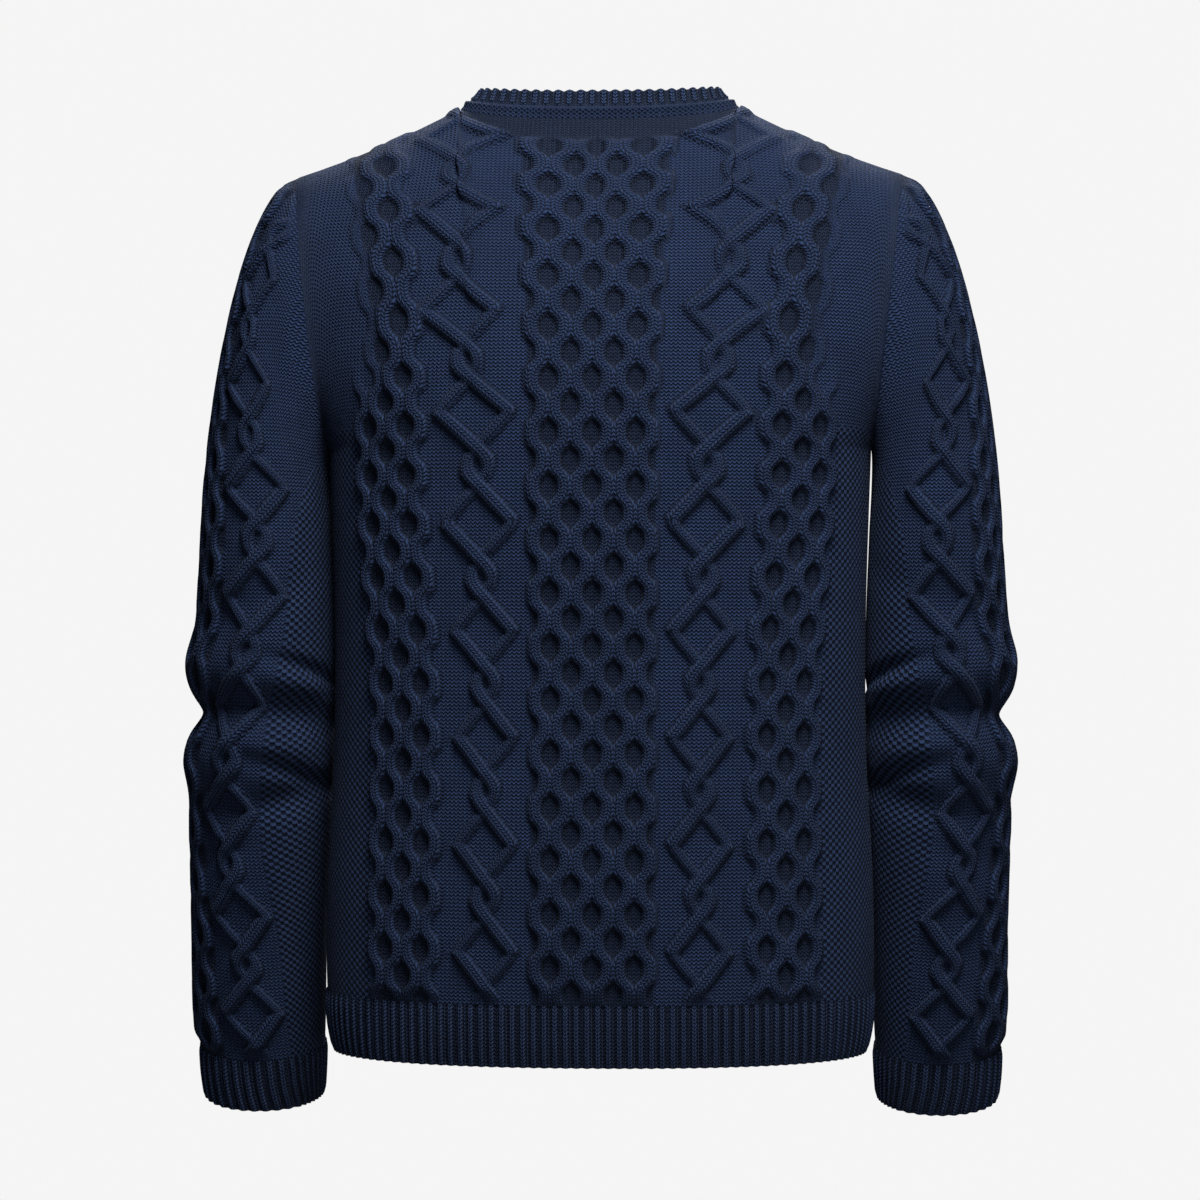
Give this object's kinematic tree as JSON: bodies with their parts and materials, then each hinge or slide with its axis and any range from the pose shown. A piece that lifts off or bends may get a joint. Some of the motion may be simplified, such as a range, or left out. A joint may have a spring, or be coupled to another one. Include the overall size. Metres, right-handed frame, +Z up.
{
  "type": "cable-knit cardigan in its worn form",
  "caption": "Hollow cable-knit cardigan in worn form: round neckband, ribbed hem and cuffs, honeycomb and diamond cables, buttoned front.",
  "frame": {"origin": "middle of the line between the two neck points of the shoulders, where the wearer's neck and shoulders hold the garment", "axes": "+Z up, -Y the way the wearer faces, +X the wearer's left"},
  "size_m": [0.5858, 0.2448, 0.7221],
  "materials": {
    "cable_knit": "matte wool knit",
    "rib_knit": "matte ribbed wool",
    "button_resin": "satin resin"
  },
  "bodies": {
    "root": {"back_panel": "cable_knit", "front_left_panel": "cable_knit", "front_right_panel": "cable_knit", "sleeve_left": "cable_knit", "sleeve_right": "cable_knit", "back_hem_rib": "rib_knit", "front_left_hem_rib": "rib_knit", "front_right_hem_rib": "rib_knit", "cuff_left": "rib_knit", "cuff_right": "rib_knit", "neckband": "rib_knit", "button_band_left": "rib_knit", "button_band_right": "rib_knit", "button_1": "button_resin", "button_2": "button_resin", "button_3": "button_resin", "button_4": "button_resin", "button_5": "button_resin", "button_6": "button_resin", "button_7": "button_resin"}
  },
  "joints": []
}
